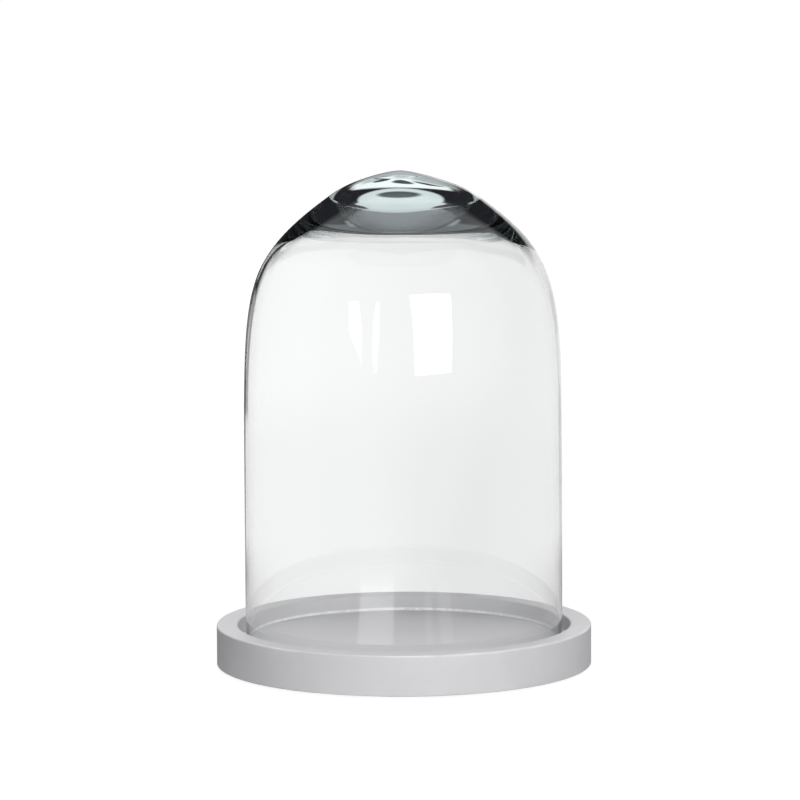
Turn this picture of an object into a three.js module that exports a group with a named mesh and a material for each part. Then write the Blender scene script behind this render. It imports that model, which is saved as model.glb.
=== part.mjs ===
// A glass food cloche: a blown bell with a heavy solid crown, standing loose in the recess of a round tray.
// Millimetres, +Z up. The origin is the middle of the surface that the tray's felt pads stand on.
import * as THREE from 'three';

// The glass bell
const BELL_DIAMETER = 177.5; // outside of the straight wall
const BELL_HEIGHT = 260.5; // foot to the tip of the crown
const GLASS_WALL = 1.7; // thickness of the straight wall
const SHOULDER_DROP = 160.5; // tip down to where the straight wall starts to curve in
const SHOULDER_REACH = 97.5; // length of the shoulder curve's upright tangent
const FLANK_RADIUS = 41; // ring where the flank turns into the rounded cap
const FLANK_DROP = 14; // tip down to that ring
const FLANK_SLOPE_DEG = 36; // fall of the flank at that ring
const FLANK_REACH = 58.5; // length of the flank's tangent towards the shoulder
const CAP_REACH = 13; // length of the flank's tangent towards the tip
const TIP_REACH = 7; // length of the level tangent at the tip
const DISC_RADIUS = 25.3; // ring where the middle of the ceiling ends
const DISC_DROP = 30.6; // tip down to that ring: the solid glass of the crown
const DISC_RISE = 0.25; // how far the middle of the ceiling bows up
const DISC_SLOPE_DEG = 3.5; // fall of the ceiling at that ring
const DISC_REACH = 9.8; // length of that ring's tangent outwards
const CEILING_RADIUS = 55.8; // ring where the ceiling turns into the inner shoulder
const CEILING_DROP = 31.2; // tip down to that ring
const CEILING_SLOPE_DEG = 34.5; // fall of the glass at that ring
const CEILING_TURN = 2; // length of that ring's tangent inwards
const CEILING_REACH = 29.5; // length of that ring's tangent outwards
const INNER_REACH = 97; // length of the inner shoulder's upright tangent

// The tray
const RECESS_CLEARANCE = 4.5; // gap between the bell and the wall of the recess
const RIM_WIDTH = 11.75; // flat ring around the recess
const TRAY_HEIGHT = 22.5; // underside to the top of the rim
const RECESS_DEPTH = 6.5; // rim down to the floor that the bell stands on
const RIM_EDGE_RADIUS = 0.9; // softened edges on both sides of the rim
const FOOT_EDGE_RADIUS = 2; // rounded bottom edge
const RECESS_FILLET = 1.2; // round in the corner of the recess
const SEAT_GAP = 0.3; // between the bell's foot and the floor of the recess

// The felt pads under the tray
const PAD_COUNT = 4;
const PAD_DIAMETER = 20;
const PAD_THICKNESS = 1.5;
const PAD_INSET = 14; // from the edge of the tray to the edge of a pad
const PAD_EDGE_RADIUS = 0.4; // soft lower edge of the felt

// Fineness of the round forms
const TURNED_SIDES = 72;
const PAD_SIDES = 32;
const EDGE_STEPS = 4;
const FOOT_STEPS = 8;
const SHOULDER_STEPS = 14;
const CAP_STEPS = 10;
const DISC_STEPS = 3;
const CEILING_STEPS = 10;

// Heights and radii that follow from the sizes above
const bellRadius = BELL_DIAMETER / 2;
const recessRadius = bellRadius + RECESS_CLEARANCE;
const trayRadius = recessRadius + RIM_WIDTH;
const undersideZ = PAD_THICKNESS;
const rimZ = undersideZ + TRAY_HEIGHT;
const recessFloorZ = rimZ - RECESS_DEPTH;
const bellFootZ = recessFloorZ + SEAT_GAP;

const point = (radius, height) => new THREE.Vector2(radius, height);

/** Joins pieces of a turned outline, each a curve with its own number of steps, into one row of points. */
function outlineOf(pieces) {
  const points = [];
  for (const [curve, steps] of pieces) {
    const sampled = curve.getPoints(steps);
    points.push(...(points.length > 0 ? sampled.slice(1) : sampled));
  }
  return points;
}

/** A straight piece of an outline. */
function line(from, to) {
  return [new THREE.LineCurve(from, to), 1];
}

/** A quarter round from one angle to another, in degrees, about a centre. */
function quarterRound(centre, radius, startDeg, endDeg) {
  const start = THREE.MathUtils.degToRad(startDeg);
  const end = THREE.MathUtils.degToRad(endDeg);
  const arc = new THREE.EllipseCurve(centre.x, centre.y, radius, radius, start, end, endDeg < startDeg);
  return [arc, EDGE_STEPS];
}

/** The direction out and down along a fall, in degrees. */
function outAndDown(fallDeg) {
  const fall = THREE.MathUtils.degToRad(fallDeg);
  return point(Math.cos(fall), -Math.sin(fall));
}

/** Turns an outline of (radius, height) points about +Z. */
function turned(outline, sides) {
  return new THREE.LatheGeometry(outline, sides).rotateX(Math.PI / 2);
}

/** The bell's outline, from the middle of the ceiling down the inside, round the foot and up to the tip. */
function bellOutline() {
  const tip = point(0, BELL_HEIGHT);
  const discRing = point(DISC_RADIUS, BELL_HEIGHT - DISC_DROP);
  const ceiling = point(0, discRing.y + DISC_RISE);
  const ceilingRing = point(CEILING_RADIUS, BELL_HEIGHT - CEILING_DROP);
  const shoulderZ = BELL_HEIGHT - SHOULDER_DROP;
  const innerRadius = bellRadius - GLASS_WALL;
  const footRadius = GLASS_WALL / 2;
  const footCentre = point(bellRadius - footRadius, footRadius);
  const innerShoulder = point(innerRadius, shoulderZ);
  const outerShoulder = point(bellRadius, shoulderZ);
  const flankRing = point(FLANK_RADIUS, BELL_HEIGHT - FLANK_DROP);
  const discFall = outAndDown(DISC_SLOPE_DEG);
  const ceilingFall = outAndDown(CEILING_SLOPE_DEG);
  const flankFall = outAndDown(FLANK_SLOPE_DEG);

  const disc = new THREE.QuadraticBezierCurve(ceiling, point(DISC_RADIUS / 2, ceiling.y), discRing);
  const ceilingBand = new THREE.CubicBezierCurve(
    discRing,
    discRing.clone().addScaledVector(discFall, DISC_REACH),
    ceilingRing.clone().addScaledVector(ceilingFall, -CEILING_TURN),
    ceilingRing,
  );
  const cavity = new THREE.CubicBezierCurve(
    ceilingRing,
    ceilingRing.clone().addScaledVector(ceilingFall, CEILING_REACH),
    point(innerRadius, shoulderZ + INNER_REACH),
    innerShoulder,
  );
  const foot = new THREE.EllipseCurve(
    footCentre.x, footCentre.y, footRadius, footRadius, Math.PI, 2 * Math.PI, false,
  );
  const shoulder = new THREE.CubicBezierCurve(
    outerShoulder,
    point(bellRadius, shoulderZ + SHOULDER_REACH),
    flankRing.clone().addScaledVector(flankFall, FLANK_REACH),
    flankRing,
  );
  const cap = new THREE.CubicBezierCurve(
    flankRing,
    flankRing.clone().addScaledVector(flankFall, -CAP_REACH),
    point(TIP_REACH, tip.y),
    tip,
  );
  return outlineOf([
    [disc, DISC_STEPS],
    [ceilingBand, CEILING_STEPS],
    [cavity, SHOULDER_STEPS],
    line(innerShoulder, point(innerRadius, footRadius)),
    [foot, FOOT_STEPS],
    line(point(bellRadius, footRadius), outerShoulder),
    [shoulder, SHOULDER_STEPS],
    [cap, CAP_STEPS],
  ]);
}

/** The tray's outline, from the middle of the underside out, up over the rim and into the recess. */
function trayOutline() {
  const top = TRAY_HEIGHT;
  const floor = TRAY_HEIGHT - RECESS_DEPTH;
  return outlineOf([
    line(point(0, 0), point(trayRadius - FOOT_EDGE_RADIUS, 0)),
    quarterRound(point(trayRadius - FOOT_EDGE_RADIUS, FOOT_EDGE_RADIUS), FOOT_EDGE_RADIUS, -90, 0),
    line(point(trayRadius, FOOT_EDGE_RADIUS), point(trayRadius, top - RIM_EDGE_RADIUS)),
    quarterRound(point(trayRadius - RIM_EDGE_RADIUS, top - RIM_EDGE_RADIUS), RIM_EDGE_RADIUS, 0, 90),
    line(point(trayRadius - RIM_EDGE_RADIUS, top), point(recessRadius + RIM_EDGE_RADIUS, top)),
    quarterRound(point(recessRadius + RIM_EDGE_RADIUS, top - RIM_EDGE_RADIUS), RIM_EDGE_RADIUS, 90, 180),
    line(point(recessRadius, top - RIM_EDGE_RADIUS), point(recessRadius, floor + RECESS_FILLET)),
    quarterRound(point(recessRadius - RECESS_FILLET, floor + RECESS_FILLET), RECESS_FILLET, 0, -90),
    line(point(recessRadius - RECESS_FILLET, floor), point(0, floor)),
  ]);
}

/** A felt pad's outline, from the middle of its lower face out and up to the glued face. */
function padOutline() {
  const radius = PAD_DIAMETER / 2;
  const edge = PAD_EDGE_RADIUS;
  return outlineOf([
    line(point(0, 0), point(radius - edge, 0)),
    quarterRound(point(radius - edge, edge), edge, -90, 0),
    line(point(radius, edge), point(radius, PAD_THICKNESS)),
    line(point(radius, PAD_THICKNESS), point(0, PAD_THICKNESS)),
  ]);
}

const clearGlass = new THREE.MeshStandardMaterial({ color: 0xe6f0ef, roughness: 0.03, metalness: 0 });
const satinGreyPaint = new THREE.MeshStandardMaterial({ color: 0xcccbce, roughness: 0.5, metalness: 0 });
const greyFelt = new THREE.MeshStandardMaterial({ color: 0x9a9894, roughness: 1, metalness: 0 });

/** Makes a named mesh standing at a height on the axis. */
function named(name, geometry, material, height) {
  const mesh = new THREE.Mesh(geometry, material);
  mesh.name = name;
  mesh.position.z = height;
  return mesh;
}

const cloche = new THREE.Group();
cloche.add(named('glass_bell', turned(bellOutline(), TURNED_SIDES), clearGlass, bellFootZ));
cloche.add(named('tray', turned(trayOutline(), TURNED_SIDES), satinGreyPaint, undersideZ));

const padCircle = trayRadius - PAD_INSET - PAD_DIAMETER / 2;
for (let index = 0; index < PAD_COUNT; index += 1) {
  const angle = ((index + 0.5) / PAD_COUNT) * 2 * Math.PI;
  const pad = named(`felt_pad_${index + 1}`, turned(padOutline(), PAD_SIDES), greyFelt, 0);
  pad.position.x = padCircle * Math.cos(angle);
  pad.position.y = padCircle * Math.sin(angle);
  cloche.add(pad);
}

export default cloche;
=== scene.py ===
"""Finished look of a food cloche: a blown glass bell that stands loose in a satin grey tray.

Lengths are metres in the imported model's frame, with the table at z = 0 and the camera in front, at -Y.
"""

import logging
import math
from collections.abc import Sequence
from dataclasses import dataclass
from enum import Enum

import bpy
import numpy as np
from mathutils import Matrix, Vector


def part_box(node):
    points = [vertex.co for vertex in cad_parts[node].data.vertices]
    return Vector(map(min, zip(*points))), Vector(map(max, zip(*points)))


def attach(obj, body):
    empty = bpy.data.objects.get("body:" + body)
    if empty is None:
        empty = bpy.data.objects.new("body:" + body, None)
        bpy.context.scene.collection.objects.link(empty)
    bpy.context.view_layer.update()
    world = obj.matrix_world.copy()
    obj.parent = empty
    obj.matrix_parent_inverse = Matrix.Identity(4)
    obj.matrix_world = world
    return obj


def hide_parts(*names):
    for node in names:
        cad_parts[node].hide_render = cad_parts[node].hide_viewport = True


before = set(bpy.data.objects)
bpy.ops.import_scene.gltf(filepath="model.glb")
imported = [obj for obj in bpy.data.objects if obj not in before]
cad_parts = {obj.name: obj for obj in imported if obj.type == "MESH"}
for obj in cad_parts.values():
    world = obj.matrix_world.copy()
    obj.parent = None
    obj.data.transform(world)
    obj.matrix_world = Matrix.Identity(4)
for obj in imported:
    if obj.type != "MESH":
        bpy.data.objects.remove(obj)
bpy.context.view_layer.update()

LOG = logging.getLogger("food_cloche")

# A soft edge is where a share starts to change and where it has changed.
Edge = tuple[float, float]
Point = tuple[float, float]
Place = tuple[float, float, float]
Colour = tuple[float, float, float]
Socket = bpy.types.NodeSocket

# How often a ray was mirrored on its way from the eye, and how many glass faces it crossed.
TWICE = 2
OFTEN = 4
LOST = 7
GLIDED = 10
FAR_WALL = 3
BOTH_WALLS = 5


class Body(Enum):
    """The bodies that pieces ride on."""

    TRAY = "tray"
    BELL = "bell"


class Slot(Enum):
    """Names for the material slots."""

    CLEAR_GLASS = "clear_glass"
    SATIN_PAINT = "satin_grey_paint"
    GREY_FELT = "grey_felt"


class Ray(Enum):
    """Kinds of ray that a studio surface answers in its own way."""

    CAMERA = "Is Camera Ray"
    SHADOW = "Is Shadow Ray"
    DIFFUSE = "Is Diffuse Ray"
    GLOSSY = "Is Glossy Ray"
    TRANSMISSION = "Is Transmission Ray"
    SHARP = "Is Singular Ray"


class ShaderGraph:
    """A node tree with short calls to add nodes and links. Values are sockets, numbers or colours."""

    def __init__(self, tree: bpy.types.NodeTree) -> None:
        """Takes over the node tree of a material or of the world, and empties it."""
        self.tree = tree
        self.tree.nodes.clear()

    def node(self, kind: str, inputs: dict[str, object] | None = None, **settings: object) -> bpy.types.Node:
        """Adds a node.

        Args:
            kind: Node type, without the ShaderNode at its front.
            inputs: Values for its inputs, by name.
            settings: Node properties to set.

        Returns:
            The new node.
        """
        made = self.tree.nodes.new("ShaderNode" + kind)
        for name, value in settings.items():
            setattr(made, name, value)
        for name, value in (inputs or {}).items():
            self.feed(made.inputs[name], value)
        return made

    def link(self, source: Socket, target: Socket) -> None:
        """Links an output socket to an input socket."""
        self.tree.links.new(source, target)

    def feed(self, target: Socket, value: object) -> None:
        """Links a socket, or sets a plain value on it.

        Args:
            target: Input socket.
            value: Output socket, number or colour.
        """
        if isinstance(value, Socket):
            self.link(value, target)
        else:
            target.default_value = value

    def math(self, operation: str, *values: object) -> Socket:
        """Adds a Math node.

        Args:
            operation: Name of the operation.
            values: Sockets or numbers, in order.

        Returns:
            The node's result.
        """
        made = self.node("Math", operation=operation)
        for socket, value in zip(made.inputs, values):
            self.feed(socket, value)
        return made.outputs[0]

    def ramp(self, value: object, low: float, high: float) -> Socket:
        """Adds a smooth step from 0 at low to 1 at high."""
        inputs = {"Value": value, "From Min": low, "From Max": high}
        return self.node("MapRange", inputs, interpolation_type="SMOOTHSTEP").outputs["Result"]

    def blend(self, share: object, first: object, second: object) -> Socket:
        """Mixes two colours by the share of the second."""
        inputs = {"Factor": share, "A": first, "B": second}
        return self.node("Mix", inputs, data_type="RGBA").outputs["Result"]

    def noise(self, where: object, scale: float, detail: float = 2.0, fine: float = 0.5) -> Socket:
        """Adds a noise texture.

        Args:
            where: Coordinates to read.
            scale: Grains per metre.
            detail: Octaves.
            fine: Strength of the finer octaves.

        Returns:
            The noise value.
        """
        inputs = {"Vector": where, "Scale": scale, "Detail": detail, "Roughness": fine}
        return self.node("TexNoise", inputs).outputs["Fac"]

    def bump(self, height: object, distance: float, strength: float = 1.0, under: object = None) -> Socket:
        """Adds a bump.

        Args:
            height: Height socket, from 0 to 1.
            distance: Height of 1, in metres.
            strength: Share of the bump.
            under: Normal that the bump lies on.

        Returns:
            The bumped normal.
        """
        made = self.node("Bump", {"Strength": strength, "Distance": distance, "Height": height})
        if under is not None:
            self.link(under, made.inputs["Normal"])
        return made.outputs["Normal"]

    def is_ray(self, kind: Ray) -> Socket:
        """Tells whether a ray is of a kind."""
        return self.node("LightPath").outputs[kind.value]

    def mirrored(self, times: int = 1) -> Socket:
        """Tells whether a ray was mirrored at least so many times on its way from the eye."""
        return self.math("GREATER_THAN", self.node("LightPath").outputs["Glossy Depth"], times - 0.5)

    def crossed(self, faces: int = 1) -> Socket:
        """Tells whether a ray crossed at least so many glass faces on its way from the eye."""
        return self.math("GREATER_THAN", self.node("LightPath").outputs["Transmission Depth"], faces - 0.5)

    def degrees(self, radians: object) -> Socket:
        """Turns radians into degrees."""
        return self.math("MULTIPLY", radians, 180.0 / math.pi)

    def azimuth(self, x: object, y: object) -> Socket:
        """Gives the angle from straight behind the object, in degrees."""
        return self.degrees(self.math("ARCTAN2", x, y))

    def unless(self, share: object) -> Socket:
        """Gives what is left of 1."""
        return self.math("SUBTRACT", 1.0, share)

    def below(self, value: object, low: float, high: float) -> Socket:
        """Adds a smooth step from 1 at low to 0 at high."""
        return self.unless(self.ramp(value, low, high))

    def between(self, value: object, start: Edge, end: Edge) -> Socket:
        """Gives 1 between two soft edges and 0 outside them."""
        return self.both(self.ramp(value, *start), self.below(value, *end))

    def size(self, value: object) -> Socket:
        """Drops the sign of a value."""
        return self.math("ABSOLUTE", value)

    def both(self, *shares: object) -> Socket:
        """Multiplies shares.

        Args:
            shares: Sockets or numbers.

        Returns:
            Their product.
        """
        result = shares[0]
        for share in shares[1:]:
            result = self.math("MULTIPLY", result, share)
        return result

    def oval(self, across: object, up: object, centre: Point, half: Point) -> Socket:
        """Gives the squared distance from an oval's centre, 1 on its edge.

        Args:
            across: Place across.
            up: Place up.
            centre: Middle of the oval.
            half: Half width and half height.

        Returns:
            The squared distance.
        """
        wide = self.math("DIVIDE", self.math("SUBTRACT", across, centre[0]), half[0])
        tall = self.math("DIVIDE", self.math("SUBTRACT", up, centre[1]), half[1])
        return self.math("ADD", self.both(wide, wide), self.both(tall, tall))

    def length(self, x: object, y: object) -> Socket:
        """Gives the length of a flat vector."""
        return self.math("SQRT", self.math("ADD", self.both(x, x), self.both(y, y)))

    def choose(self, share: object, first: Socket, second: Socket) -> Socket:
        """Mixes two shaders.

        Args:
            share: Share of the second shader.
            first: First shader.
            second: Second shader.

        Returns:
            The mixed shader.
        """
        made = self.node("MixShader")
        for socket, value in zip(made.inputs, (share, first, second)):
            self.feed(socket, value)
        return made.outputs[0]

    def split(self, space: str) -> Sequence[Socket]:
        """Gives x, y and z of a place or direction in a space of the Texture Coordinate node."""
        return self.node("SeparateXYZ", {"Vector": self.node("TexCoord").outputs[space]}).outputs

    def glow(self, colour: object, strength: object = 1.0) -> Socket:
        """Adds a shader that shines."""
        return self.node("Emission", {"Color": colour, "Strength": strength}).outputs[0]

    def matt(self, colour: object) -> Socket:
        """Adds a matt shader."""
        return self.node("BsdfDiffuse", {"Color": colour}).outputs[0]

    def backdrop(self, colour: object, strength: float = 1.0) -> Socket:
        """Adds a shader for the world."""
        return self.node("Background", {"Color": colour, "Strength": strength}).outputs[0]

    def show(self, surface: Socket, kind: str = "OutputMaterial") -> bpy.types.Node:
        """Adds the output node for a surface."""
        return self.node(kind, {"Surface": surface})


def solid(colour: Colour) -> tuple[float, float, float, float]:
    """Gives a colour with full alpha."""
    return (*colour, 1.0)


def grey(level: float) -> tuple[float, float, float, float]:
    """Gives a neutral colour with full alpha."""
    return solid((level, level, level))


def new_finish(name: str) -> tuple[bpy.types.Material, ShaderGraph]:
    """Makes an empty material.

    Args:
        name: The material's name.

    Returns:
        The material and its node tree.
    """
    made = bpy.data.materials.new(name)
    made.use_nodes = True
    return made, ShaderGraph(made.node_tree)


def curve(corners: Sequence[Point], steps: int) -> np.ndarray:
    """Samples a cubic curve.

    Args:
        corners: Start, two leads and end, as radius and height.
        steps: Number of stretches.

    Returns:
        The points after the start.
    """
    a, b, c, d = (np.array(corner, float) for corner in corners)
    t = np.linspace(0.0, 1.0, steps + 1)[1:, None]
    return (1 - t) ** 3 * a + 3 * (1 - t) ** 2 * t * b + 3 * (1 - t) * t ** 2 * c + t ** 3 * d


def straight(start: Point, end: Point, steps: int) -> np.ndarray:
    """Gives the points after the start of a straight stretch."""
    t = np.linspace(0.0, 1.0, steps + 1)[1:, None]
    return np.array(start) * (1 - t) + np.array(end) * t


def bow(centre: Point, radius: float, from_deg: float, to_deg: float, steps: int) -> np.ndarray:
    """Samples an arc.

    Args:
        centre: Centre, as radius from the axis and height.
        radius: Radius of the arc.
        from_deg: First angle, from the outward direction, in degrees.
        to_deg: Last angle.
        steps: Number of stretches.

    Returns:
        All points of the arc.
    """
    angle = np.radians(np.linspace(from_deg, to_deg, steps + 1))
    return np.stack([centre[0] + radius * np.cos(angle), centre[1] + radius * np.sin(angle)], 1)


def falling(slope_deg: float) -> np.ndarray:
    """Gives the outward direction that falls by an angle."""
    slope = math.radians(slope_deg)
    return np.array([math.cos(slope), -math.sin(slope)])


def mesh_piece(name: str, points: list, faces: list) -> bpy.types.Object:
    """Makes a mesh object and links it to the scene.

    Args:
        name: The object's name.
        points: Its corners.
        faces: Corner numbers of each face.

    Returns:
        The object.
    """
    mesh = bpy.data.meshes.new(name)
    mesh.from_pydata(points, [], faces)
    piece = bpy.data.objects.new(name, mesh)
    bpy.context.scene.collection.objects.link(piece)
    return piece


def turned(name: str, outline: np.ndarray, sides: int) -> bpy.types.Object:
    """Turns an outline that starts and ends on the axis into a closed mesh.

    Args:
        name: Name of the piece.
        outline: Radii and heights, with the material on the left of the way along them.
        sides: Number of sides.

    Returns:
        The new object, with smooth faces.
    """
    angle = 2 * math.pi * np.arange(sides) / sides
    rings = outline[1:-1]
    ring_points = np.empty((len(rings), sides, 3))
    ring_points[..., 0] = rings[:, :1] * np.cos(angle)
    ring_points[..., 1] = rings[:, :1] * np.sin(angle)
    ring_points[..., 2] = rings[:, 1:]
    first = np.array([[0.0, 0.0, outline[0][1]]])
    last = np.array([[0.0, 0.0, outline[-1][1]]])
    points = np.vstack([first, ring_points.reshape(-1, 3), last])
    here = np.arange(sides)
    beside = (here + 1) % sides
    faces: list[list[int]] = []
    faces += [[0, 1 + b, 1 + a] for a, b in zip(here, beside)]
    for row in range(len(rings) - 1):
        low = 1 + row * sides
        high = low + sides
        faces += [[low + a, low + b, high + b, high + a] for a, b in zip(here, beside)]
    top = 1 + (len(rings) - 1) * sides
    faces += [[top + a, top + b, len(points) - 1] for a, b in zip(here, beside)]
    piece = mesh_piece(name, points.tolist(), faces)
    piece.data.polygons.foreach_set("use_smooth", np.ones(len(faces), bool))
    piece.data.update()
    return piece


def read_points(piece: bpy.types.Object) -> np.ndarray:
    """Reads a piece's points.

    Args:
        piece: A mesh object.

    Returns:
        Its points, one row each.
    """
    points = np.empty(len(piece.data.vertices) * 3)
    piece.data.vertices.foreach_get("co", points)
    return points.reshape(-1, 3)


def write_points(piece: bpy.types.Object, points: np.ndarray) -> None:
    """Moves a piece's points."""
    piece.data.vertices.foreach_set("co", points.ravel())
    piece.data.update()


def smooth_step(value: np.ndarray, low: float, high: float) -> np.ndarray:
    """Rises smoothly from 0 at low to 1 at high."""
    t = np.clip((value - low) / (high - low), 0.0, 1.0)
    return t * t * (3 - 2 * t)


@dataclass(frozen=True)
class ClearGlass:
    """Clear blown glass with a faint aqua body and slow ripples from the blowing."""

    ior: float = 1.5
    absorb_density: float = 4.0
    absorb_colour: Colour = (0.02, 0.45, 0.43)
    thin_shadow: float = 0.985
    thick_shadow: float = 0.46
    thick_edge: Edge = (0.2, 0.24)
    ripple_scale: float = 16.0
    ripple_detail: float = 1.5
    ripple_fine: float = 0.4
    ripple_height: float = 0.00012

    def material(self) -> bpy.types.Material:
        """Builds the glass.

        Returns:
            A material that refracts for the eye and lets plain light through to what stands below, dimmed
            under the thick crown as a painted shadow.
        """
        made, graph = new_finish("clear_blown_glass")
        where = graph.node("TexCoord").outputs["Object"]
        ripple = graph.noise(where, self.ripple_scale, self.ripple_detail, self.ripple_fine)
        glass = graph.node("BsdfPrincipled", {
            "Base Color": grey(1.0),
            "Roughness": 0.0,
            "IOR": self.ior,
            "Transmission Weight": 1.0,
            "Normal": graph.bump(ripple, self.ripple_height),
        })
        # Painted shadow: light through the thick crown is dimmed, so the crown casts a soft shadow into the
        # tray.
        thick = graph.ramp(graph.split("Object")[2], *self.thick_edge)
        shadow = graph.blend(thick, grey(self.thin_shadow), grey(self.thick_shadow))
        clear = graph.node("BsdfTransparent", {"Color": shadow}).outputs[0]
        seen = graph.choose(graph.is_ray(Ray.DIFFUSE), glass.outputs[0], clear)
        surface = graph.choose(graph.is_ray(Ray.SHADOW), seen, clear)
        aqua = {"Color": solid(self.absorb_colour), "Density": self.absorb_density}
        body = graph.node("VolumeAbsorption", aqua)
        graph.link(body.outputs[0], graph.show(surface).inputs["Volume"])
        return made


@dataclass(frozen=True)
class GroundGlass:
    """The ground foot of the bell: frosted white, with specks that the grinding left clearer."""

    pale: Colour = (0.93, 0.935, 0.94)
    clearer: Colour = (0.72, 0.735, 0.745)
    roughness: float = 0.6
    ior: float = 1.5
    see_through: float = 0.15
    grain_scale: float = 420.0
    grain_detail: float = 3.0
    grain_fine: float = 0.6
    grain_edge: Edge = (0.38, 0.6)
    grain_height: float = 0.00006
    grain_strength: float = 0.6

    def material(self) -> bpy.types.Material:
        """Builds the frosted finish.

        Returns:
            The frosted material.
        """
        made, graph = new_finish("ground_glass")
        where = graph.node("TexCoord").outputs["Object"]
        grain = graph.noise(where, self.grain_scale, self.grain_detail, self.grain_fine)
        frosted = graph.ramp(grain, *self.grain_edge)
        frost = graph.node("BsdfPrincipled", {
            "Base Color": graph.blend(frosted, solid(self.clearer), solid(self.pale)),
            "Roughness": self.roughness,
            "IOR": self.ior,
            "Transmission Weight": self.see_through,
            "Normal": graph.bump(grain, self.grain_height, self.grain_strength),
        })
        graph.show(frost.outputs[0])
        return made


@dataclass(frozen=True)
class SatinPaint:
    """Sprayed satin grey paint on a turned board: faint turning rings, fine orange peel, and a lighter outer
    top edge of paint wear and painted edge highlight.
    """

    colour: Colour = (0.62, 0.615, 0.635)
    shade: Colour = (0.585, 0.58, 0.602)
    # Lighter colour of the outer top edge: paint wear and a painted edge highlight.
    wear_and_highlight: Colour = (0.68, 0.675, 0.69)
    ior: float = 1.48
    low_roughness: float = 0.42
    high_roughness: float = 0.56
    peel_scale: float = 900.0
    peel_height: float = 0.00005
    peel_strength: float = 0.5
    ring_scale: float = 260.0
    ring_detail: float = 3.0
    ring_height: float = 0.00003
    ring_strength: float = 0.6
    mottle_scale: float = 22.0
    mottle_detail: float = 4.0
    mottle_fine: float = 0.55
    mottle_edge: Edge = (0.3, 0.7)
    wear_and_highlight_edge: Edge = (0.42, 0.62)

    def material(self, rim_radius: float, rim_z: float, edge: float) -> bpy.types.Material:
        """Builds the paint.

        Args:
            rim_radius: Outer radius of the rim.
            rim_z: Height of the rim.
            edge: Width of the lighter outer edge, of paint wear and painted edge highlight.

        Returns:
            The paint material.
        """
        made, graph = new_finish("satin_grey_paint")
        where = graph.node("TexCoord").outputs["Object"]
        x, y, z = graph.split("Object")
        reach = graph.length(x, y)
        mottle = graph.noise(where, self.mottle_scale, self.mottle_detail, self.mottle_fine)
        peel = graph.noise(where, self.peel_scale)
        flat = graph.node("CombineXYZ", {"X": reach, "Y": z}).outputs[0]
        turning = {"Vector": flat, "Scale": self.ring_scale, "Detail": self.ring_detail}
        rings = graph.node("TexNoise", turning, noise_dimensions="2D").outputs["Fac"]
        outer = graph.ramp(reach, rim_radius - edge, rim_radius - edge / 3)
        high = graph.ramp(z, rim_z - edge, rim_z - edge / 3)
        # Painted edge highlight and paint wear: lighter in patches along the outer top edge of the rim.
        wear_and_highlight_share = graph.both(outer, high, graph.ramp(mottle, *self.wear_and_highlight_edge))
        base = graph.blend(graph.ramp(mottle, *self.mottle_edge), solid(self.shade), solid(self.colour))
        rough = graph.node("MapRange", {
            "Value": mottle,
            "From Min": self.mottle_edge[0],
            "From Max": self.mottle_edge[1],
            "To Min": self.low_roughness,
            "To Max": self.high_roughness,
        })
        ridges = graph.bump(rings, self.ring_height, self.ring_strength)
        satin = graph.node("BsdfPrincipled", {
            "Base Color": graph.blend(wear_and_highlight_share, base, solid(self.wear_and_highlight)),
            "Roughness": rough.outputs["Result"],
            "IOR": self.ior,
            "Normal": graph.bump(peel, self.peel_height, self.peel_strength, ridges),
        })
        graph.show(satin.outputs[0])
        return made


@dataclass(frozen=True)
class PressedFelt:
    """Pressed grey wool felt: matted fibres of mixed greys with a soft sheen."""

    dark: Colour = (0.16, 0.16, 0.17)
    light: Colour = (0.34, 0.34, 0.36)
    roughness: float = 0.95
    sheen: float = 0.35
    sheen_roughness: float = 0.6
    fibre_scale: float = 1400.0
    fibre_detail: float = 6.0
    fibre_fine: float = 0.7
    fibre_share: float = 0.6
    fibre_height: float = 0.0003
    fibre_strength: float = 0.9
    clump_scale: float = 260.0
    clump_detail: float = 3.0
    clump_fine: float = 0.6
    tone_edge: Edge = (0.36, 0.64)

    def material(self) -> bpy.types.Material:
        """Builds the felt.

        Returns:
            The felt material.
        """
        made, graph = new_finish("pressed_grey_felt")
        where = graph.node("TexCoord").outputs["Object"]
        fibre = graph.noise(where, self.fibre_scale, self.fibre_detail, self.fibre_fine)
        clump = graph.noise(where, self.clump_scale, self.clump_detail, self.clump_fine)
        clump = graph.both(clump, 1.0 - self.fibre_share)
        matted = graph.math("ADD", graph.both(fibre, self.fibre_share), clump)
        pale = graph.ramp(matted, *self.tone_edge)
        felt = graph.node("BsdfPrincipled", {
            "Base Color": graph.blend(pale, solid(self.dark), solid(self.light)),
            "Roughness": self.roughness,
            "Sheen Weight": self.sheen,
            "Sheen Roughness": self.sheen_roughness,
            "Normal": graph.bump(matted, self.fibre_height, self.fibre_strength),
        })
        graph.show(felt.outputs[0])
        return made


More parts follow.
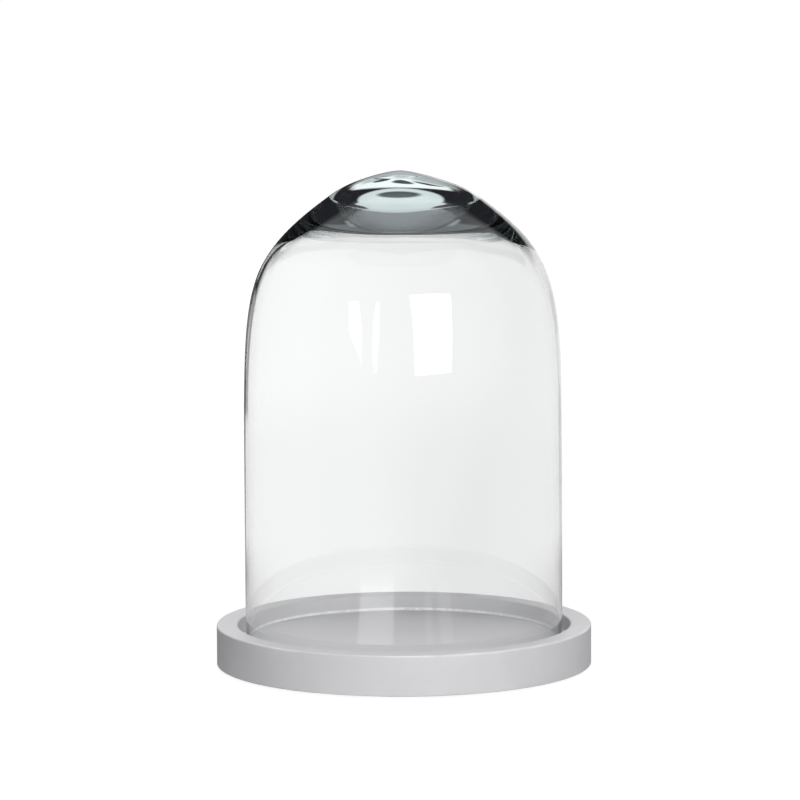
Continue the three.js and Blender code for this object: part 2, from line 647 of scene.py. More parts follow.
@dataclass
class GlassBell:
    """The blown bell: a thin wall that grows through the shoulder into a heavy solid crown."""

    low: Vector
    high: Vector
    wall: float = 0.0017
    shoulder_drop: float = 0.1605
    shoulder_reach: float = 0.0975
    flank_radius: float = 0.041
    flank_drop: float = 0.014
    flank_slope_deg: float = 36.0
    flank_reach: float = 0.0585
    cap_reach: float = 0.013
    tip_reach: float = 0.007
    inner_reach: float = 0.097
    ceiling_radius: float = 0.0558
    ceiling_drop: float = 0.0312
    ceiling_slope_deg: float = 34.5
    ceiling_lead: float = 0.0295
    ceiling_turn: float = 0.002
    disc_radius: float = 0.0253
    disc_drop: float = 0.0306
    disc_slope_deg: float = 3.5
    disc_lead: float = 0.0098
    disc_rise: float = 0.00025
    tip_lean: float = 0.0011
    tip_edge: Edge = (0.0, 0.012)
    crown_sway: float = 0.0007
    sway_start: Edge = (0.006, 0.016)
    sway_end: Edge = (0.03, 0.06)
    ceiling_tilt_deg: float = 0.5
    ceiling_sag: float = 0.0009
    ceiling_fade: Edge = (0.05, 0.1)
    shoulder_droop: float = 0.0006
    droop_edge: Edge = (0.02, 0.055)
    wave: float = 0.00011
    wave_edge: Edge = (0.02, 0.05)
    wave_lobes: tuple[int, ...] = (3, 5, 8, 11)
    wave_turn: float = 1.7
    foot_drop: float = 0.0025
    ground_height: float = 0.0021
    sides: int = 256
    disc_steps: int = 24
    ring_steps: int = 48
    bend_steps: int = 56
    wall_steps: int = 12
    foot_steps: int = 10
    cap_steps: int = 40

    @property
    def foot(self) -> float:
        """Height of the foot's lower face."""
        return self.low.z - self.foot_drop

    def outline(self) -> np.ndarray:
        """Draws the section from the middle of the ceiling, down inside, round the foot and up to the tip.

        Returns:
            Radii and heights.
        """
        radius = self.high.x
        tip = self.high.z
        inner = radius - self.wall
        shoulder = tip - self.shoulder_drop
        edge = np.array([self.ceiling_radius, tip - self.ceiling_drop])
        along = falling(self.ceiling_slope_deg)
        disc = np.array([self.disc_radius, tip - self.disc_drop])
        level = falling(self.disc_slope_deg)
        middle = (0.0, disc[1] + self.disc_rise)
        reach = np.linspace(0.0, 1.0, self.disc_steps + 1)[1:]
        dome = np.stack([disc[0] * reach, disc[1] + self.disc_rise * (1 - reach ** 2)], 1)
        ring_end = edge - along * self.ceiling_turn
        ring = curve([disc, disc + level * self.disc_lead, ring_end, edge], self.ring_steps)
        inner_lead = (inner, shoulder + self.inner_reach)
        bend = curve([edge, edge + along * self.ceiling_lead, inner_lead, (inner, shoulder)], self.bend_steps)
        half = self.wall / 2
        round_foot = bow((radius - half, self.foot + half), half, 180.0, 360.0, self.foot_steps)
        ground = self.foot + self.ground_height
        down = straight((inner, shoulder), (inner, ground), self.wall_steps)
        up = straight((radius, ground), (radius, shoulder), self.wall_steps)
        flank = np.array([self.flank_radius, tip - self.flank_drop])
        slide = falling(self.flank_slope_deg)
        outer_lead = (radius, shoulder + self.shoulder_reach)
        flank_lead = flank + slide * self.flank_reach
        side = curve([(radius, shoulder), outer_lead, flank_lead, flank], self.bend_steps)
        cap_lead = flank - slide * self.cap_reach
        cap = curve([flank, cap_lead, (self.tip_reach, tip), (0.0, tip)], self.cap_steps)
        return np.vstack([middle, dome, ring, bend, down, round_foot, (radius, ground), up, side, cap])

    def build(self, glass: bpy.types.Material, ground: bpy.types.Material) -> bpy.types.Object:
        """Makes the bell and puts it on its body.

        Args:
            glass: The finish.
            ground: The finish of the foot.

        Returns:
            The bell.
        """
        bell = turned("blown_bell", self.outline(), self.sides)
        self.hand_blown(bell)
        bell.data.materials.append(glass)
        bell.data.materials.append(ground)
        for face in bell.data.polygons:
            above_foot = face.center.z - self.foot
            face.material_index = int(self.wall / 2 < above_foot < self.ground_height)
        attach(bell, Body.BELL.value)
        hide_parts("glass_bell")
        return bell

    def hand_blown(self, bell: bpy.types.Object) -> None:
        """Bends the turned form: a leaning tip, a swayed crown and a tilted, sagging and wavy ceiling.

        Args:
            bell: The turned bell.
        """
        points = read_points(bell)
        inner_rows = int(np.argmin(self.outline()[:, 1]))
        inside = np.arange(len(points)) < 1 + inner_rows * self.sides
        drop = self.high.z - points[:, 2]
        turn = np.arctan2(points[:, 1], points[:, 0])
        reach = np.hypot(points[:, 0], points[:, 1])
        near_ceiling = inside * (1 - smooth_step(drop, *self.ceiling_fade))
        sink = -points[:, 0] * math.tan(math.radians(self.ceiling_tilt_deg)) - self.ceiling_sag
        sink -= self.shoulder_droop * smooth_step(points[:, 0], *self.droop_edge)
        lobes = [np.sin(lobe * (turn + self.wave_turn)) / math.sqrt(lobe) for lobe in self.wave_lobes]
        waves = self.wave * sum(lobes) * smooth_step(reach, *self.wave_edge)
        points[:, 2] += near_ceiling * (sink + waves)
        sway = smooth_step(drop, *self.sway_start) * (1 - smooth_step(drop, *self.sway_end))
        lean = 1 - smooth_step(drop, *self.tip_edge)
        points[:, 0] += self.crown_sway * sway - self.tip_lean * lean
        write_points(bell, points)


@dataclass
class Tray:
    """The turned board with a flat rim and a shallow recess that the bell stands in."""

    low: Vector
    high: Vector
    rim_width: float = 0.01175
    recess_depth: float = 0.009
    rim_edge: float = 0.0009
    foot_edge: float = 0.0006
    recess_fillet: float = 0.0012
    # Width of the lighter outer top edge: paint wear and a painted edge highlight.
    wear_and_highlight_width: float = 0.0016
    sides: int = 256
    foot_steps: int = 10
    edge_steps: int = 8
    underside_steps: int = 10
    wall_steps: int = 8
    rim_steps: int = 6
    drop_steps: int = 4
    floor_steps: int = 14

    def outline(self) -> np.ndarray:
        """Draws the section from the middle of the underside, round the rim, to the middle of the recess.

        Returns:
            Radii and heights.
        """
        radius = self.high.x
        under = self.low.z
        rim = self.high.z
        hollow = radius - self.rim_width
        floor = rim - self.recess_depth
        foot, edge, fillet = self.foot_edge, self.rim_edge, self.recess_fillet
        lower = bow((radius - foot, under + foot), foot, -90.0, 0.0, self.foot_steps)
        outer = bow((radius - edge, rim - edge), edge, 0.0, 90.0, self.edge_steps)
        inner = bow((hollow + edge, rim - edge), edge, 90.0, 180.0, self.edge_steps)
        turn = bow((hollow - fillet, floor + fillet), fillet, 0.0, -90.0, self.edge_steps)
        underside = straight((0.0, under), lower[0], self.underside_steps)
        wall = straight(lower[-1], outer[0], self.wall_steps)
        top = straight(outer[-1], inner[0], self.rim_steps)
        down = straight(inner[-1], turn[0], self.drop_steps)
        bottom = straight(turn[-1], (0.0, floor), self.floor_steps)
        outside = [[(0.0, under)], underside, lower[1:], wall, outer[1:]]
        inside = [top, inner[1:], down, turn[1:], bottom]
        return np.vstack(outside + inside)

    def build(self, paint: SatinPaint) -> bpy.types.Object:
        """Makes the tray and puts it on its body.

        Args:
            paint: The finish.

        Returns:
            The tray.
        """
        tray = turned("turned_tray", self.outline(), self.sides)
        tray.data.materials.append(paint.material(self.high.x, self.high.z, self.wear_and_highlight_width))
        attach(tray, Body.TRAY.value)
        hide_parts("tray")
        return tray


@dataclass
class FeltPads:
    """The felt discs under the tray, with soft frayed edges."""

    count: int = 4
    edge: float = 0.0005
    fray: float = 0.00025
    fray_from: float = 0.9
    sides: int = 96
    edge_steps: int = 5
    face_steps: int = 16
    seed: int = 7

    def outline(self, radius: float, low: float, high: float) -> np.ndarray:
        """Draws a disc's section with a rounded edge.

        Args:
            radius: Radius of the disc.
            low: Height of its lower face.
            high: Height of its upper face.

        Returns:
            Radii and heights.
        """
        lower = bow((radius - self.edge, low + self.edge), self.edge, -90.0, 0.0, self.edge_steps)
        upper = bow((radius - self.edge, high - self.edge), self.edge, 0.0, 90.0, self.edge_steps)
        under = straight((0.0, low), lower[0], self.face_steps)
        over = straight(upper[-1], (0.0, high), self.face_steps)
        return np.vstack([[(0.0, low)], under, lower[1:], upper, over])

    def build(self, felt: bpy.types.Material) -> list[bpy.types.Object]:
        """Makes the discs and puts them on the tray's body.

        Args:
            felt: The finish.

        Returns:
            The discs.
        """
        rng = np.random.default_rng(self.seed)
        discs = []
        for number in range(1, self.count + 1):
            node = f"felt_pad_{number}"
            low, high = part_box(node)
            centre = (low + high) / 2
            radius = (high.x - low.x) / 2
            disc = turned(f"felt_disc_{number}", self.outline(radius, low.z, high.z), self.sides)
            self.fray_edge(disc, radius, rng)
            disc.data.transform(Matrix.Translation((centre.x, centre.y, 0.0)))
            disc.data.materials.append(felt)
            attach(disc, Body.TRAY.value)
            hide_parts(node)
            discs.append(disc)
        return discs

    def fray_edge(self, disc: bpy.types.Object, radius: float, rng: np.random.Generator) -> None:
        """Pulls the rim of a disc in by a little, here and there.

        Args:
            disc: The disc, round its own origin.
            radius: Its radius.
            rng: Source of the pulls.
        """
        points = read_points(disc)
        reach = np.hypot(points[:, 0], points[:, 1])
        near_rim = smooth_step(reach, radius * self.fray_from, radius)
        pull = 1 - near_rim * rng.random(len(points)) * self.fray / radius
        points[:, :2] *= pull[:, None]
        write_points(disc, points)


@dataclass
class LightCard:
    """A flat lit card, given by its corners on an upright plane across the view."""

    name: str
    plane_y: float
    corners: tuple[Point, ...]
    strength: float
    colour: Colour = (1.0, 0.99, 0.98)
    only_inside: bool = False

    def build(self) -> bpy.types.Object:
        """Makes the card, unseen by the camera itself.

        Returns:
            The card, which shows only in what the glass mirrors inside where only_inside says so.
        """
        points = [(x, self.plane_y, z) for x, z in self.corners]
        card = mesh_piece(self.name, points, [tuple(range(len(points)))])
        made, graph = new_finish(self.name)
        early = graph.unless(graph.mirrored(TWICE))
        shown = graph.glow(solid(self.colour), graph.both(early, self.strength))
        # Painted reflection: with only_inside the card shows only where the glass mirrors it once inside, and
        # lets everything else through.
        if self.only_inside:
            near_wall = graph.both(graph.crossed(), graph.unless(graph.crossed(FAR_WALL)))
            inside = graph.both(early, graph.mirrored(), near_wall)
            shown = graph.choose(inside, graph.node("BsdfTransparent").outputs[0], shown)
        graph.show(shown)
        card.data.materials.append(made)
        card.visible_camera = False
        card.visible_shadow = False
        return card


@dataclass(frozen=True)
class Tones:
    """What the surroundings show the glass. Angles are degrees from straight behind the object."""

    middle: float = 2.0
    white: float = 0.95
    front: float = 0.6
    front_start: Edge = (90.0, 120.0)
    dark: Colour = (0.022, 0.020, 0.023)
    # Painted shade: near_grey and mid_grey are the floor near the object, darker where the glass mirrors it.
    near_grey: Colour = (0.37, 0.34, 0.36)
    mid_grey: Colour = (0.20, 0.18, 0.195)
    wall_grey: Colour = (0.19, 0.175, 0.185)
    high_grey: Colour = (0.40, 0.38, 0.39)
    deep_grey: Colour = (0.26, 0.245, 0.25)
    deep_end: Edge = (52.0, 62.0)
    # Painted colour fringe: a warm brown that stands in for the glass's dispersion along the crown's line.
    fringe: Colour = (0.50, 0.29, 0.13)

    def off_middle(self, graph: ShaderGraph, side: object) -> Socket:
        """Gives the angle from the middle of the lit backdrop."""
        return graph.size(graph.math("SUBTRACT", side, self.middle))

    def far_wall(self, graph: ShaderGraph, off: object) -> Socket:
        """Gives what the far wall mirrors: white at the back, greyer in front."""
        return graph.blend(graph.ramp(off, *self.front_start), grey(self.white), grey(self.front))

    def deep(self, graph: ShaderGraph, off: object, tone: object) -> Socket:
        """Gives what shows after many mirrorings: a tone at the back and dark sides."""
        return graph.blend(graph.below(off, *self.deep_end), solid(self.dark), tone)


@dataclass(frozen=True)
class MirroredFloor:
    """The floor as the glass mirrors it, in metres from the object and degrees from straight behind."""

    tones: Tones = Tones()
    grey_change: Edge = (0.2, 0.45)
    grey_end: Edge = (41.0, 46.0)
    far_start: Edge = (0.9, 1.5)
    lit_half: float = 12.5
    lit_growth: float = 6.5
    growth_reach: Edge = (1.0, 5.0)
    lit_end: Edge = (0.95, 1.12)
    dark_start: Edge = (1.0, 1.15)
    shade_start: Edge = (1.2, 1.5)
    shade_end: Edge = (33.0, 39.0)
    left_start: Edge = (-25.0, -19.0)
    left_end: Edge = (-4.0, 2.0)
    right_start: Edge = (18.0, 22.0)
    right_end: Edge = (29.0, 33.0)
    right_tone: float = 0.7
    flank_start: Edge = (60.0, 120.0)
    flank_reach: Edge = (0.35, 0.55)
    # Painted reflections in the satin paint: dark on the left, lighter on the right and in front.
    paint_reflection_turn: Edge = (-6.0, 6.0)
    paint_reflection_left: float = 0.08
    paint_reflection_right: float = 0.45
    paint_reflection_front: float = 0.85
    paint_reflection_front_start: Edge = (80.0, 120.0)
    # Painted reflections: bright strips on the floor in front, which stand in for the softboxes mirrored in a
    # glossy table.
    sheens: tuple[tuple[float, ...], ...] = ((-28.0, -6.5, 2.9), (13.0, 17.5, 1.6), (22.0, 30.0, 1.7))
    sheen_soft: float = 1.5
    sheen_reach: Edge = (0.35, 0.50)
    sheen_rise: Edge = (0.26, 0.36)
    sheen_near: float = 0.55

    def paint(self, graph: ShaderGraph, away: object, x: object, y: object) -> Socket:
        """Paints the floor: grey near the object as painted shade, white far behind, dark at the sides, with
        painted sheens in front.

        Args:
            graph: The floor's nodes.
            away: Distance from the object.
            x: Place across.
            y: Place behind.

        Returns:
            The colour.
        """
        side = graph.azimuth(x, y)
        front = graph.azimuth(x, graph.math("MULTIPLY", y, -1.0))
        inside = self.inside(graph, away, self.tones.off_middle(graph, side))
        ground = graph.blend(graph.crossed(), self.outside(graph, away, side, front), inside)
        # Painted sheens on the floor close in front, for rays mirrored once.
        close = graph.both(graph.below(away, *self.sheen_reach), graph.unless(graph.mirrored(TWICE)))
        close = graph.both(close, graph.unless(graph.crossed(FAR_WALL)))
        rise = graph.ramp(away, *self.sheen_rise)
        close = graph.both(close, graph.math("MULTIPLY_ADD", rise, 1.0 - self.sheen_near, self.sheen_near))
        soft = self.sheen_soft
        for start, end, glow in self.sheens:
            strip = graph.between(front, (start - soft, start + soft), (end - soft, end + soft))
            ground = graph.blend(graph.both(strip, close), ground, grey(glow))
        return ground

    def inside(self, graph: ShaderGraph, away: object, off: object) -> Socket:
        """Paints the floor as it shows after mirrorings inside the glass.

        Args:
            graph: The floor's nodes.
            away: Distance from the object.
            off: Angle from the middle of the lit backdrop.

        Returns:
            The colour.
        """
        tones = self.tones
        white, dark = grey(tones.white), solid(tones.dark)
        # Painted shade on the floor near the object.
        near = graph.blend(graph.ramp(away, *self.grey_change), solid(tones.near_grey), solid(tones.mid_grey))
        far = graph.ramp(away, *self.far_start)
        growth = graph.ramp(away, *self.growth_reach)
        half = graph.math("MULTIPLY_ADD", growth, self.lit_growth, self.lit_half)
        spread = graph.math("DIVIDE", off, half)
        beside = graph.ramp(spread, *self.dark_start)
        shade = graph.both(graph.ramp(away, *self.shade_start), beside, graph.below(off, *self.shade_end))
        once = graph.blend(shade, white, dark)
        once = graph.blend(graph.crossed(FAR_WALL), once, tones.far_wall(graph, off))
        twice = graph.blend(graph.below(off, *self.grey_end), dark, near)
        twice = graph.blend(graph.both(far, beside), twice, dark)
        twice = graph.blend(graph.both(far, graph.below(spread, *self.lit_end)), twice, white)
        ground = graph.blend(graph.mirrored(TWICE), once, twice)
        ground = graph.blend(graph.mirrored(OFTEN), ground, tones.deep(graph, off, solid(tones.deep_grey)))
        ground = graph.blend(graph.mirrored(LOST), ground, dark)
        return graph.blend(graph.crossed(BOTH_WALLS), ground, white)

    def outside(self, graph: ShaderGraph, away: object, side: object, front: object) -> Socket:
        """Paints the floor as outer faces mirror it: sharp in the glass, soft in the paint.

        Args:
            graph: The floor's nodes.
            away: Distance from the object.
            side: Angle from straight behind.
            front: Angle from straight in front.

        Returns:
            The colour.
        """
        left = graph.between(side, self.left_start, self.left_end)
        right = graph.between(side, self.right_start, self.right_end)
        # Painted shade: the floor close beside the object, as outer faces mirror it.
        flank = graph.ramp(graph.size(front), *self.flank_start)
        flank = graph.both(flank, graph.below(away, *self.flank_reach))
        sharp = graph.blend(left, grey(self.tones.white), solid(self.tones.dark))
        sharp = graph.blend(right, sharp, grey(self.right_tone))
        sharp = graph.blend(flank, sharp, solid(self.tones.near_grey))
        satin = graph.blend(graph.ramp(side, *self.paint_reflection_turn), grey(self.paint_reflection_left), grey(self.paint_reflection_right))
        in_front = graph.ramp(graph.size(side), *self.paint_reflection_front_start)
        satin = graph.blend(in_front, satin, grey(self.paint_reflection_front))
        return graph.blend(graph.is_ray(Ray.SHARP), satin, sharp)


@dataclass(frozen=True)
class MirroredRoom:
    """The room as the glass mirrors it, in degrees from straight behind and above the floor."""

    tones: Tones = Tones()
    oval_middle: Point = (2.0, 3.5)
    oval_half: Point = (19.5, 13.3)
    oval_edge: Edge = (0.85, 1.1)
    lens_middle: Point = (2.3, 9.5)
    lens_half: Point = (9.5, 3.8)
    lens_edge: Edge = (0.5, 1.3)
    lens_tone: Colour = (0.07, 0.08, 0.09)
    band_end: Edge = (22.0, 27.0)
    band_low: Edge = (16.5, 18.5)
    band_high: Edge = (22.0, 24.5)
    band_tone: Colour = (1.45, 1.43, 1.43)
    cap_end: Edge = (22.0, 34.0)
    cap_low: Edge = (20.0, 24.0)
    cap_high: Edge = (39.0, 46.0)
    cap_tone: Colour = (0.74, 0.72, 0.73)
    # Dark marks painted into the room, which the crown mirrors.
    mark_middles: tuple[Point, ...] = ((11.0, 22.5), (0.5, 20.8), (-12.0, 22.0))
    mark_halves: tuple[Point, ...] = ((5.0, 1.0), (5.5, 1.0), (8.0, 0.8))
    mark_edge: Edge = (0.4, 1.3)
    mark_tone: Colour = (0.1, 0.1, 0.105)
    aside_start: Edge = (40.0, 46.0)
    wall_end: Edge = (53.0, 59.0)
    wall_low: Edge = (3.0, 8.0)
    high_start: Edge = (46.0, 51.0)
    high_end: Edge = (60.0, 65.0)
    high_low: Edge = (36.0, 41.0)
    warm_end: Edge = (28.0, 42.0)
    warm_low: Edge = (10.0, 16.0)
    glide_start: Edge = (-112.0, -104.0)
    glide_end: Edge = (-66.0, -58.0)
    glide_high: Edge = (28.0, 34.0)
    left_end: Edge = (-31.0, -24.0)
    left_high: Edge = (9.0, 15.0)
    right_start: Edge = (0.0, 6.0)
    right_end: Edge = (36.0, 50.0)
    right_high: Edge = (8.0, 14.0)
    flank_start: Edge = (36.0, 44.0)
    zenith_start: Edge = (50.0, 62.0)
    # Painted reflections in the satin paint: brighter than white behind, lighter in front.
    paint_reflection_end: Edge = (50.0, 90.0)
    paint_reflection_behind: float = 1.35
    paint_reflection_front: float = 0.8

    def inside(self, graph: ShaderGraph, side: object, up: object) -> Socket:
        """Paints the room as it shows after mirrorings inside the glass: a lit backdrop between dark sides.

        Args:
            graph: The world's nodes.
            side: Angle from straight behind.
            up: Angle above the floor.

        Returns:
            The colour.
        """
        tones = self.tones
        white, dark = grey(tones.white), solid(tones.dark)
        off = tones.off_middle(graph, side)
        once = graph.blend(graph.ramp(off, *self.aside_start), self.crown(graph, side, up, off), white)
        once = graph.blend(graph.crossed(FAR_WALL), once, tones.far_wall(graph, off))
        wall = graph.both(graph.below(off, *self.wall_end), graph.ramp(up, *self.wall_low))
        high = graph.both(graph.between(off, self.high_start, self.high_end), graph.ramp(up, *self.high_low))
        twice = graph.blend(wall, dark, solid(tones.wall_grey))
        twice = graph.blend(high, twice, solid(tones.high_grey))
        # Painted colour fringe after many mirrorings, near the backdrop's middle.
        warm = graph.both(graph.below(off, *self.warm_end), graph.ramp(up, *self.warm_low))
        fringe = graph.blend(warm, solid(tones.deep_grey), solid(tones.fringe))
        # Painted glint: a white patch for rays mirrored ten times or more.
        glide = graph.between(side, self.glide_start, self.glide_end)
        glide = graph.both(glide, graph.below(up, *self.glide_high), graph.mirrored(GLIDED))
        colour = graph.blend(graph.mirrored(TWICE), once, twice)
        colour = graph.blend(graph.mirrored(OFTEN), colour, tones.deep(graph, off, fringe))
        colour = graph.blend(graph.mirrored(LOST), colour, dark)
        colour = graph.blend(glide, colour, grey(1.0))
        return graph.blend(graph.crossed(BOTH_WALLS), colour, white)

    def crown(self, graph: ShaderGraph, side: object, up: object, off: object) -> Socket:
        """Paints what the crown mirrors once, as painted reflections: an oval with a dark lens, a band
        brighter than white, a pale cap and dark marks.

        Args:
            graph: The world's nodes.
            side: Angle from straight behind.
            up: Angle above the floor.
            off: Angle from the middle of the lit backdrop.

        Returns:
            The colour.
        """
        band = graph.both(graph.below(off, *self.band_end), graph.between(up, self.band_low, self.band_high))
        cap = graph.both(graph.below(off, *self.cap_end), graph.between(up, self.cap_low, self.cap_high))
        painted = graph.blend(cap, solid(self.tones.dark), solid(self.cap_tone))
        painted = graph.blend(band, painted, solid(self.band_tone))
        for middle, half in zip(self.mark_middles, self.mark_halves):
            mark = graph.below(graph.oval(side, up, middle, half), *self.mark_edge)
            painted = graph.blend(mark, painted, solid(self.mark_tone))
        lit = graph.below(graph.oval(side, up, self.oval_middle, self.oval_half), *self.oval_edge)
        painted = graph.blend(lit, painted, grey(1.0))
        lens = graph.below(graph.oval(side, up, self.lens_middle, self.lens_half), *self.lens_edge)
        return graph.blend(lens, painted, solid(self.lens_tone))

    def outside(self, graph: ShaderGraph, side: object, up: object) -> Socket:
        """Paints the room as outer faces mirror it: lit on the right, dark on the left, softer in the paint.

        Args:
            graph: The world's nodes.
            side: Angle from straight behind.
            up: Angle above the floor.

        Returns:
            The colour.
        """
        white = grey(self.tones.white)
        right = graph.between(side, self.right_start, self.right_end)
        right = graph.both(right, graph.below(up, *self.right_high))
        left = graph.both(graph.below(side, *self.left_end), graph.below(up, *self.left_high))
        flank = graph.ramp(graph.size(side), *self.flank_start)
        lit = graph.math("MAXIMUM", flank, graph.ramp(up, *self.zenith_start))
        sharp = graph.blend(lit, solid(self.tones.dark), white)
        sharp = graph.blend(right, sharp, grey(1.0))
        sharp = graph.blend(left, sharp, white)
        behind = graph.below(graph.size(side), *self.paint_reflection_end)
        satin = graph.blend(behind, grey(self.paint_reflection_front), grey(self.paint_reflection_behind))
        return graph.blend(graph.is_ray(Ray.SHARP), satin, sharp)


@dataclass
class Studio:
    """Plain white floor, soft light and the surroundings that the glass mirrors."""

    floor_paint: MirroredFloor = MirroredFloor()
    room_paint: MirroredRoom = MirroredRoom()
    floor_size: float = 120.0
    floor_z: float = -0.0002
    floor_albedo: float = 0.55
    floor_shadow: float = 0.14
    near_glow: float = 0.93
    far_glow: float = 1.0
    glow_reach: Edge = (0.5, 3.0)
    # Painted shade on the glass body: what shows through the glass is darker to the right and near its right
    # edge, and the nearer floor is darker still.
    through_left: float = 0.975
    through_right: float = 0.91
    close_left: float = 0.91
    close_right: float = 0.845
    close_reach: Edge = (0.7, 1.7)
    lean_range: Edge = (-0.052, 0.052)
    right_lean: Edge = (0.04, 0.09)
    right_share: float = 0.6
    right_shade: float = 0.8
    ambient: float = 0.04
    lamp_size: float = 1.3
    lamp_aim: Place = (0.0, 0.0, 0.05)
    top_place: Place = (-0.2, -1.0, 2.1)
    top_power: float = 31.0
    back_place: Place = (0.3, 2.2, 0.9)
    back_power: float = 16.0
    card_y: float = -1.5
    softbox: tuple[Point, ...] = ((0.223, 0.188), (1.051, 0.203), (1.229, 1.279), (0.152, 1.071))
    softbox_glow: float = 7.0
    outer_strip: tuple[Point, ...] = (
        (-0.924, 0.272), (-0.854, 0.224), (-0.858, 0.489), (-1.065, 1.018), (-1.396, 1.072), (-1.24, 0.461))
    inner_strip: tuple[Point, ...] = (
        (-0.593, 0.202), (-0.497, 0.203), (-0.456, 0.432), (-0.49, 0.931), (-0.574, 0.938), (-0.601, 0.479))
    strip_glow: float = 2.4
    # White cards beside the shoulders: painted reflections that show only where the glass mirrors them once
    # inside.
    white_card_y: float = 0.045
    white_card_low: float = 0.130
    white_card_high: float = 0.268
    white_card_right: Edge = (0.080, 0.165)
    white_card_left: Edge = (-0.118, -0.165)
    white_card_glow: float = 0.88

    def build(self) -> None:
        """Makes the floor, the lights and the world."""
        self.floor()
        self.lamp("top_light", Vector(self.top_place), self.top_power)
        self.lamp("back_light", Vector(self.back_place), self.back_power)
        self.cards()
        self.world()

    def floor(self) -> None:
        """Makes a floor that is white to the eye and keeps the object's shadow."""
        half = self.floor_size / 2
        spots = [(-half, -half), (half, -half), (half, half), (-half, half)]
        ground = mesh_piece("floor", [(x, y, self.floor_z) for x, y in spots], [(0, 1, 2, 3)])
        made, graph = new_finish("white_floor")
        x, y, _ = graph.split("Object")
        away = graph.length(x, y)
        paper = graph.blend(graph.ramp(away, *self.glow_reach), grey(self.near_glow), grey(self.far_glow))
        white = graph.node("AddShader")
        graph.link(graph.matt(grey(self.floor_shadow)), white.inputs[0])
        graph.link(graph.glow(paper), white.inputs[1])
        lean = graph.math("DIVIDE", x, away)
        close = self.graded(graph, lean, self.close_left, self.close_right)
        beyond = self.graded(graph, lean, self.through_left, self.through_right)
        through = graph.glow(graph.blend(graph.ramp(away, *self.close_reach), close, beyond))
        glazed = graph.choose(graph.crossed(), white.outputs[0], through)
        mirrored = graph.glow(self.floor_paint.paint(graph, away, x, y))
        shown = graph.choose(graph.mirrored(), glazed, mirrored)
        eye = graph.is_ray(Ray.CAMERA)
        for kind in (Ray.GLOSSY, Ray.TRANSMISSION):
            eye = graph.math("MAXIMUM", eye, graph.is_ray(kind))
        graph.show(graph.choose(eye, graph.matt(grey(self.floor_albedo)), shown))
        ground.data.materials.append(made)

    def graded(self, graph: ShaderGraph, lean: object, left: float, right: float) -> Socket:
        """Paints shade into what is seen through the glass: darker from left to right, darker again near its
        right edge.

        Args:
            graph: The nodes to work in.
            lean: How far a ray leans to the right.
            left: Tone on the left.
            right: Tone on the right.

        Returns:
            The colour.
        """
        tone = graph.blend(graph.ramp(lean, *self.lean_range), grey(left), grey(right))
        share = graph.both(graph.ramp(lean, *self.right_lean), self.right_share)
        return graph.blend(share, tone, grey(self.right_shade))

    def lamp(self, name: str, place: Vector, power: float) -> None:
        """Hangs one soft lamp, which lights the object but isn't mirrored.

        Args:
            name: The lamp's name.
            place: Where it hangs.
            power: Its power in watts.
        """
        lamp = bpy.data.lights.new(name, "AREA")
        lamp.shape = "RECTANGLE"
        lamp.size = self.lamp_size
        lamp.size_y = self.lamp_size
        lamp.energy = power
        hung = bpy.data.objects.new(name, lamp)
        hung.location = place
        aim = Vector(self.lamp_aim) - place
        hung.rotation_euler = aim.to_track_quat("-Z", "Y").to_euler()
        bpy.context.scene.collection.objects.link(hung)
        hung.visible_glossy = False
        hung.visible_transmission = False
        hung.visible_camera = False

    def cards(self) -> None:
        """Stands the softbox on the right, two strips on the left, and a white card beside each shoulder as a
        painted reflection that the glass mirrors once inside and that lights nothing.
        """
        LightCard("softbox_right", self.card_y, self.softbox, self.softbox_glow).build()
        LightCard("strip_left_outer", self.card_y, self.outer_strip, self.strip_glow).build()
        LightCard("strip_left_inner", self.card_y, self.inner_strip, self.strip_glow).build()
        low, high = self.white_card_low, self.white_card_high
        sides = {"white_card_right": self.white_card_right, "white_card_left": self.white_card_left}
        for name, (near, far) in sides.items():
            corners = ((near, low), (far, low), (far, high), (near, high))
            LightCard(name, self.white_card_y, corners, self.white_card_glow, only_inside=True).build()

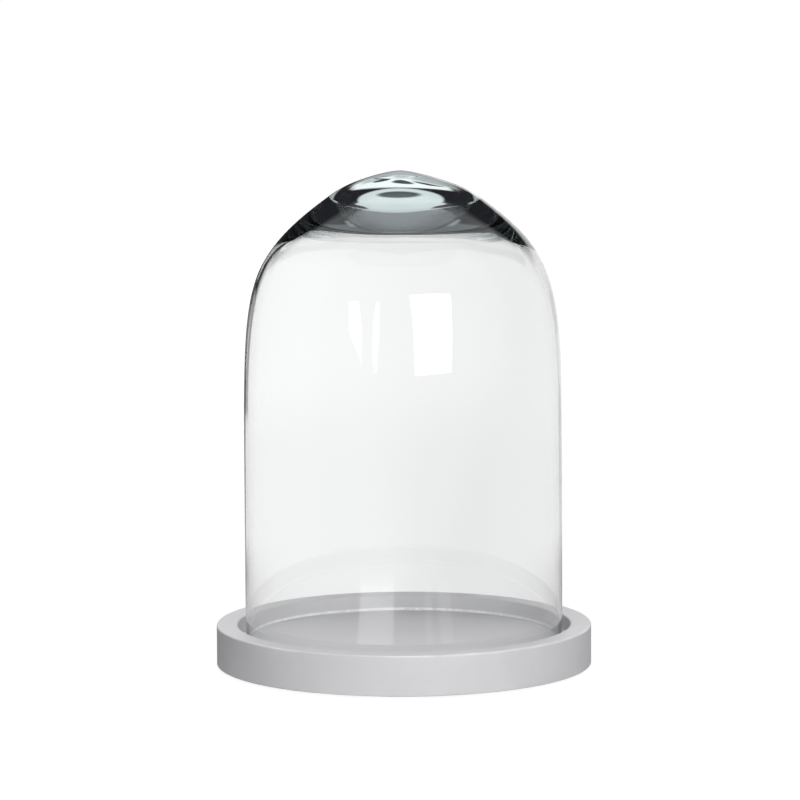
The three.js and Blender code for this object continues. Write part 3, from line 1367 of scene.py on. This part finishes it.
    def world(self) -> None:
        """Lights the object evenly, and shows the glass the room."""
        made = bpy.data.worlds.new("studio")
        bpy.context.scene.world = made
        made.use_nodes = True
        graph = ShaderGraph(made.node_tree)
        x, y, z = graph.split("Generated")
        side = graph.azimuth(x, y)
        up = graph.degrees(graph.math("ARCSINE", z))
        inside = self.room_paint.inside(graph, side, up)
        mirrored = graph.blend(graph.crossed(), self.room_paint.outside(graph, side, up), inside)
        through = self.graded(graph, x, self.through_left, self.through_right)
        glass_sees = graph.backdrop(graph.blend(graph.mirrored(), through, mirrored))
        even = graph.backdrop(grey(1.0), self.ambient)
        lit = graph.choose(graph.is_ray(Ray.DIFFUSE), glass_sees, even)
        graph.show(graph.choose(graph.is_ray(Ray.CAMERA), lit, graph.backdrop(grey(1.0))), "OutputWorld")


@dataclass
class PhotoCamera:
    """The long lens in front of the object, a little above it."""

    distance: float = 2.85626
    height: float = 0.52577
    yaw_deg: float = 0.03354
    pitch_deg: float = 7.49767
    roll_deg: float = -0.25
    focal_px: float = 5163.543
    frame_px: float = 800.0
    sensor_mm: float = 36.0
    clip_end: float = 100.0

    def build(self) -> bpy.types.Object:
        """Makes the camera and gives it to the scene.

        Returns:
            The camera.
        """
        data = bpy.data.cameras.new("photo_camera")
        data.sensor_width = self.sensor_mm
        data.lens = self.focal_px * self.sensor_mm / self.frame_px
        data.clip_end = self.clip_end
        eye = bpy.data.objects.new("photo_camera", data)
        bpy.context.scene.collection.objects.link(eye)
        turn = Matrix.Rotation(math.radians(self.yaw_deg), 4, "Z")
        tilt = Matrix.Rotation(math.radians(90.0 - self.pitch_deg), 4, "X")
        roll = Matrix.Rotation(math.radians(self.roll_deg), 4, "Z")
        eye.matrix_world = Matrix.Translation((0.0, -self.distance, self.height)) @ turn @ tilt @ roll
        bpy.context.scene.camera = eye
        return eye


@dataclass(frozen=True)
class LightPaths:
    """How far light is followed through the thick glass."""

    bounces: int = 32
    clear_bounces: int = 32

    def set(self) -> None:
        """Sets the bounce counts and the plain view transform."""
        scene = bpy.context.scene
        scene.cycles.max_bounces = self.bounces
        scene.cycles.transmission_bounces = self.bounces
        scene.cycles.glossy_bounces = self.bounces
        scene.cycles.transparent_max_bounces = self.clear_bounces
        scene.view_settings.view_transform = "Standard"


def main() -> None:
    """Builds the cloche and its studio."""
    logging.basicConfig(level=logging.INFO, format="%(name)s: %(message)s")
    LightPaths().set()
    PhotoCamera().build()
    Studio().build()
    bell = GlassBell(*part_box("glass_bell")).build(ClearGlass().material(), GroundGlass().material())
    tray = Tray(*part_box("tray")).build(SatinPaint())
    pads = FeltPads().build(PressedFelt().material())


if __name__ == "__main__":
    main()
